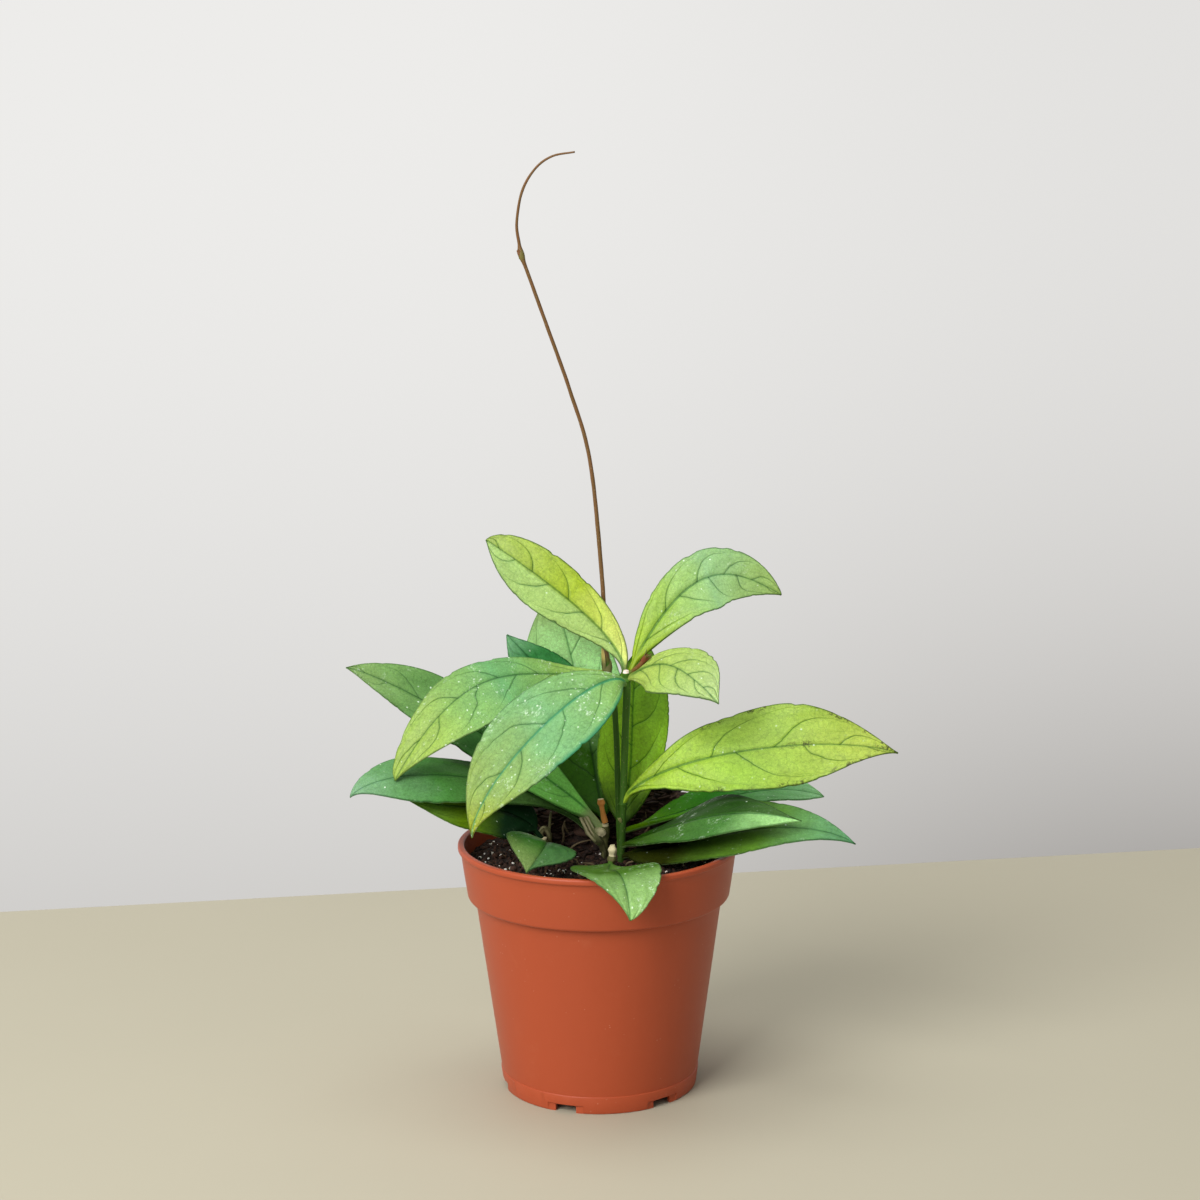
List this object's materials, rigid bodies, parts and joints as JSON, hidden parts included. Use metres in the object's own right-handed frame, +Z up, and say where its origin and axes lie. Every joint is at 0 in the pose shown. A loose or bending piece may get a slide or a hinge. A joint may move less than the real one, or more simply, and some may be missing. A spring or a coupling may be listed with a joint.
{
  "type": "potted hoya plant",
  "caption": "Young houseplant with long lance-shaped leaves and a long thin runner, growing in a round terracotta-coloured plastic nursery pot filled with soil.",
  "frame": {"origin": "middle of the foot under the pot, on the plane that the pot stands on", "axes": "+Z up along the axis of the pot, +X to the right and -Y to the front of the plant"},
  "size_m": [0.2043, 0.1159, 0.3473],
  "materials": {
    "pot_plastic": "satin moulded plastic, terracotta orange",
    "potting_soil": "rough moist peat with perlite, dark brown",
    "stem_green": "satin, yellow green to olive",
    "stem_olive": "matt, olive",
    "shoot_brown": "matt, brown",
    "dried_stub": "matt, orange brown",
    "leaf_young": "satin waxy leaf, bright yellow green with dark veins",
    "leaf_fresh": "satin waxy leaf, fresh green with darker veins",
    "leaf_mint": "satin waxy leaf, mint green with teal midrib and silver flecks",
    "leaf_green": "satin waxy leaf, medium green",
    "leaf_dark": "satin waxy leaf, dark green"
  },
  "bodies": {
    "root": {"pot": "pot_plastic", "soil": "potting_soil", "stem_main": "stem_green", "stem_runner": "shoot_brown", "stem_low_left": "stem_olive", "stem_low_front_left": "stem_olive", "stem_low_front": "stem_olive", "stub_dried": "dried_stub", "leaf_top_left": "leaf_young", "leaf_top_right": "leaf_young", "leaf_top_small": "leaf_young", "leaf_right_big": "leaf_young", "leaf_left_arched": "leaf_fresh", "leaf_over_rim": "leaf_fresh", "leaf_front_left_big": "leaf_mint", "leaf_tall_back_left": "leaf_mint", "leaf_far_left": "leaf_green", "leaf_low_left": "leaf_green", "leaf_small_front_left": "leaf_green", "leaf_low_right_front": "leaf_green", "leaf_low_right_back": "leaf_green", "leaf_tall_back_right": "leaf_green", "leaf_low_left_dark": "leaf_dark", "leaf_low_right_dark": "leaf_dark", "leaf_small_back_left": "leaf_dark"}
  },
  "joints": []
}
